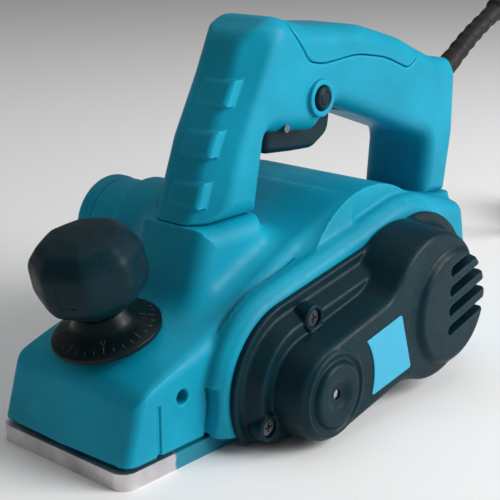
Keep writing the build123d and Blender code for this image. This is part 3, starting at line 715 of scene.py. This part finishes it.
# ------------------------------------------------------------------ materials
def add(mat, kind, **inputs):
    """A shader node with some of its inputs set; a tuple (node, output) is wired in."""
    node = mat.node_tree.nodes.new("ShaderNode" + kind)
    for key, value in inputs.items():
        socket = node.inputs[key.replace("_", " ")]
        if isinstance(value, tuple) and hasattr(value[0], "outputs"):
            mat.node_tree.links.new(value[0].outputs[value[1]], socket)
        else:
            socket.default_value = value
    return node


def ramp(mat, source, low, high, dark=0.0, light=1.0):
    """Source mapped from low..high to dark..light."""
    return add(mat, "MapRange", Value=source, From_Min=low, From_Max=high, To_Min=dark, To_Max=light)


def mix(mat, factor, a, b):
    """Colour between a and b."""
    node = mat.node_tree.nodes.new("ShaderNodeMix")
    node.data_type = "RGBA"
    for value, socket in ((factor, node.inputs[0]), (a, node.inputs[6]), (b, node.inputs[7])):
        if isinstance(value, tuple) and hasattr(value[0], "outputs"):
            mat.node_tree.links.new(value[0].outputs[value[1]], socket)
        else:
            socket.default_value = (*value, 1) if len(value) == 3 else value
    return node


def begin(name, metallic=0.0, specular=0.5):
    """A material, its shader, and object coordinates to draw on."""
    mat = bpy.data.materials.new(name)
    mat.use_nodes = True
    shader = mat.node_tree.nodes["Principled BSDF"]
    shader.inputs["Metallic"].default_value = metallic
    shader.inputs["Specular IOR Level"].default_value = specular
    where = add(mat, "TexCoord")
    return mat, shader, (where, "Object")


def close(mat, shader, color, rough, height, strength, distance):
    """Wires colour, roughness and bump into the shader."""
    links = mat.node_tree.links
    links.new(color.outputs[2], shader.inputs["Base Color"])
    links.new(rough.outputs[0], shader.inputs["Roughness"])
    bump = add(mat, "Bump", Strength=strength, Distance=distance, Height=height)
    links.new(bump.outputs[0], shader.inputs["Normal"])
    return mat


def moulded(name, color, rough, grain=1500.0, depth=0.18, wear=0.35, specular=0.45):
    """Moulded plastic: spark-eroded grain, cloudy colour, rubbed edges and faint scuffs."""
    mat, shader, where = begin(name, specular=specular)
    cloud = add(mat, "TexNoise", Vector=where, Scale=22.0, Detail=5.0)
    fine = add(mat, "TexNoise", Vector=where, Scale=grain, Detail=3.0)
    squeezed = add(mat, "Mapping", Vector=where, Scale=(260, 70, 340))
    scuff = add(mat, "TexNoise", Vector=(squeezed, 0), Scale=1.0, Detail=6.0)
    dim = tuple(c * 0.86 for c in color)
    bright = tuple(min(1, c * 1.10 + 0.002) for c in color)
    base = mix(mat, (ramp(mat, (cloud, 0), 0.35, 0.65), 0), dim, bright)
    form = add(mat, "NewGeometry")
    edge = ramp(mat, (form, "Pointiness"), 0.505, 0.56, 0, wear)
    rubbed = tuple(min(1, c * 1.5 + 0.004) for c in color)
    worn = mix(mat, (edge, 0), (base, 2), rubbed)
    gloss = ramp(mat, (scuff, 0), 0.35, 0.7, rough - 0.07, rough + 0.09)
    return close(mat, shader, worn, gloss, (fine, 0), depth, 0.0004)


def milled(name, color, rough, along=(30, 1400, 1400), depth=0.12, stain=0.8):
    """Machined metal: fine tool lines one way, stains and uneven polish."""
    mat, shader, where = begin(name, metallic=1.0)
    drawn = add(mat, "Mapping", Vector=where, Scale=along)
    lines = add(mat, "TexNoise", Vector=(drawn, 0), Scale=1.0, Detail=4.0)
    cloud = add(mat, "TexNoise", Vector=where, Scale=45.0, Detail=6.0)
    dull = tuple(c * stain for c in color)
    base = mix(mat, (ramp(mat, (cloud, 0), 0.35, 0.65), 0), dull, color)
    gloss = ramp(mat, (lines, 0), 0.3, 0.7, rough - 0.08, rough + 0.12)
    return close(mat, shader, base, gloss, (lines, 0), depth, 0.0003)


def banded(name, dark, light, bands, rough, metallic, direction="Y"):
    """Layered stuff, such as laminations, windings and belt ribs, as fine bands."""
    mat, shader, where = begin(name, metallic=metallic)
    wave = add(mat, "TexWave", Vector=where, Scale=bands, Distortion=0.4, Detail=2.0)
    wave.bands_direction = direction
    base = mix(mat, (wave, 1), dark, light)
    gloss = ramp(mat, (wave, 1), 0, 1, rough + 0.1, rough - 0.05)
    return close(mat, shader, base, gloss, (wave, 1), 0.5, 0.0003)


def shoe_metal(name, split, paint):
    """Cast shoe: ground bare at the nose, painted behind, with a chipped line between."""
    mat, shader, where = begin(name)
    axes = add(mat, "SeparateXYZ", Vector=where)
    chip = add(mat, "TexNoise", Vector=where, Scale=420.0, Detail=5.0)
    ragged = add(mat, "Math")
    ragged.operation = "MULTIPLY_ADD"
    mat.node_tree.links.new(chip.outputs[0], ragged.inputs[0])
    ragged.inputs[1].default_value = 0.004
    mat.node_tree.links.new(axes.outputs[0], ragged.inputs[2])
    painted = ramp(mat, (ragged, 0), split + 0.0015, split + 0.0025)
    drawn = add(mat, "Mapping", Vector=where, Scale=(30, 1400, 1400))
    lines = add(mat, "TexNoise", Vector=(drawn, 0), Scale=1.0, Detail=4.0)
    cloud = add(mat, "TexNoise", Vector=where, Scale=60.0, Detail=6.0)
    bare = mix(mat, (ramp(mat, (cloud, 0), 0.3, 0.7), 0), (0.48, 0.45, 0.45), (0.78, 0.74, 0.74))
    base = mix(mat, (painted, 0), (bare, 2), paint)
    metal = ramp(mat, (painted, 0), 0, 1, 1, 0)
    mat.node_tree.links.new(metal.outputs[0], shader.inputs["Metallic"])
    gloss = ramp(mat, (lines, 0), 0.3, 0.7, 0.34, 0.52)
    return close(mat, shader, base, gloss, (lines, 0), 0.15, 0.0003)


def printed(name, color):
    """Printed film: even ink with a little orange peel and rubbed spots."""
    mat, shader, where = begin(name, specular=0.3)
    spots = add(mat, "TexNoise", Vector=where, Scale=700.0, Detail=5.0)
    base = mix(mat, (ramp(mat, (spots, 0), 0.35, 0.70), 0), color, tuple(c * 0.9 for c in color))
    gloss = ramp(mat, (spots, 0), 0.3, 0.7, 0.26, 0.40)
    return close(mat, shader, base, gloss, (spots, 0), 0.08, 0.0002)


TEAL = (0.0010, 0.285, 0.425)
DARK = (0.0006, 0.0185, 0.027)
teal = moulded("teal_shell", TEAL, 0.44, specular=0.16)
dark = moulded("dark_shell", DARK, 0.40, grain=1800.0, depth=0.22, wear=0.5, specular=0.14)
black = moulded("black_resin", (0.0006, 0.0065, 0.009), 0.38, wear=0.2, specular=0.16)
rubber = moulded("cord_rubber", (0.011, 0.0085, 0.0095), 0.55, grain=2200.0, depth=0.25, wear=0.1, specular=0.2)
FINISHES = (
    (teal, (main_housing, handle, insert, chute)),
    (dark, (cover, trigger, knob, button)),
    (black, (scale,)),
    (rubber, (cord, guard, plug)),
    (printed("label_film", (0.040, 0.40, 0.60)), (label,)),
    (printed("scale_ink", (0.045, 0.062, 0.066)), (marks,)),
    (milled("pin_metal", (0.72, 0.66, 0.50), 0.28), (pins,)),
)
for finish, objects in FINISHES:
    for obj in objects:
        obj.data.materials.append(finish)

CAD_FINISHES = (
    (shoe_metal("shoe_metal", float(NOSE[0]) + 0.031, (0.003, 0.20, 0.29)), ("front_shoe",)),
    (milled("ground_aluminium", (0.56, 0.54, 0.54), 0.36), ("base_frame", "bearing_bracket")),
    (milled("turned_aluminium", (0.64, 0.64, 0.65), 0.30, (900, 40, 900)),
     ("cutter_drum", "blade_clamps", "drum_pulley", "motor_pulley")),
    (milled("dark_steel", (0.16, 0.17, 0.18), 0.34),
     ("cover_screws", "blade_screws", "pulley_nut", "trigger_pin")),
    (milled("bright_steel", (0.56, 0.56, 0.58), 0.26, (1200, 60, 1200)),
     ("adjuster_bolt", "adjuster_spring", "drum_shaft", "armature_shaft", "drum_bearings",
      "motor_bearings", "brush_springs")),
    (milled("ground_blade", (0.70, 0.70, 0.72), 0.18, (60, 1600, 1600)), ("cutter_blades",)),
    (banded("laminations", (0.10, 0.10, 0.10), (0.28, 0.27, 0.27), 320.0, 0.45, 0.8),
     ("armature_core", "stator_core")),
    (banded("windings", (0.30, 0.12, 0.05), (0.74, 0.40, 0.21), 300.0, 0.32, 0.9, "Z"), ("field_coils",)),
    (banded("commutator_bars", (0.30, 0.15, 0.08), (0.72, 0.42, 0.25), 160.0, 0.30, 0.9, "X"), ("commutator",)),
    (banded("ribbed_belt", (0.006, 0.006, 0.006), (0.030, 0.030, 0.030), 110.0, 0.6, 0.0), ("drive_belt",)),
    (moulded("fan_resin", (0.012, 0.012, 0.014), 0.45, wear=0.0), ("cooling_fan", "switch_body")),
    (moulded("holder_resin", (0.006, 0.006, 0.008), 0.40, wear=0.0), ("brush_holders",)),
    (moulded("pressed_carbon", (0.018, 0.018, 0.018), 0.6, grain=900.0, wear=0.0), ("carbon_brushes",)),
)
for finish, names in CAD_FINISHES:
    for name in names:
        mesh = NODES[name].data
        if not mesh.materials:
            mesh.materials.append(finish)
        for i in range(len(mesh.materials)):
            mesh.materials[i] = finish


# ------------------------------------------------------------------ floor and light
def make_floor():
    """Plain pale paper floor with a faint tooth."""
    mat, shader, where = begin("pale_floor", specular=0.2)
    tooth = add(mat, "TexNoise", Vector=where, Scale=900.0, Detail=3.0)
    base = mix(mat, (ramp(mat, (tooth, 0), 0.3, 0.7), 0), (0.93, 0.93, 0.93), (0.96, 0.96, 0.96))
    close(mat, shader, base, ramp(mat, (tooth, 0), 0.3, 0.7, 0.75, 0.9), (tooth, 0), 0.05, 0.0002)
    mesh = bpy.data.meshes.new("pale_floor")
    mesh.from_pydata([(-8, -8, 0), (8, -8, 0), (8, 8, 0), (-8, 8, 0)], [], [(0, 1, 2, 3)])
    mesh.materials.append(mat)
    obj = bpy.data.objects.new("pale_floor", mesh)
    bpy.context.scene.collection.objects.link(obj)


def make_lights():
    """A big soft key over the belt side, a weaker one overhead, and a pale surround."""
    world = bpy.data.worlds.new("surround")
    world.use_nodes = True
    world.node_tree.nodes["Background"].inputs[0].default_value = (1, 1, 1, 1)
    world.node_tree.nodes["Background"].inputs[1].default_value = 0.20
    bpy.context.scene.world = world
    for name, at, power, size in (("key", (0.72, -1.32, 0.88), 33, 1.0), ("overhead", (0.2, 0.1, 1.5), 5, 1.4)):
        data = bpy.data.lights.new(name, "AREA")
        data.energy, data.size = power, size
        obj = bpy.data.objects.new(name, data)
        bpy.context.scene.collection.objects.link(obj)
        obj.location = at
        obj.rotation_mode = "QUATERNION"
        obj.rotation_quaternion = (Vector((0, 0, 0.07)) - Vector(at)).to_track_quat("-Z", "Y")


make_floor()
make_lights()
bpy.context.scene.view_settings.view_transform = "Standard"
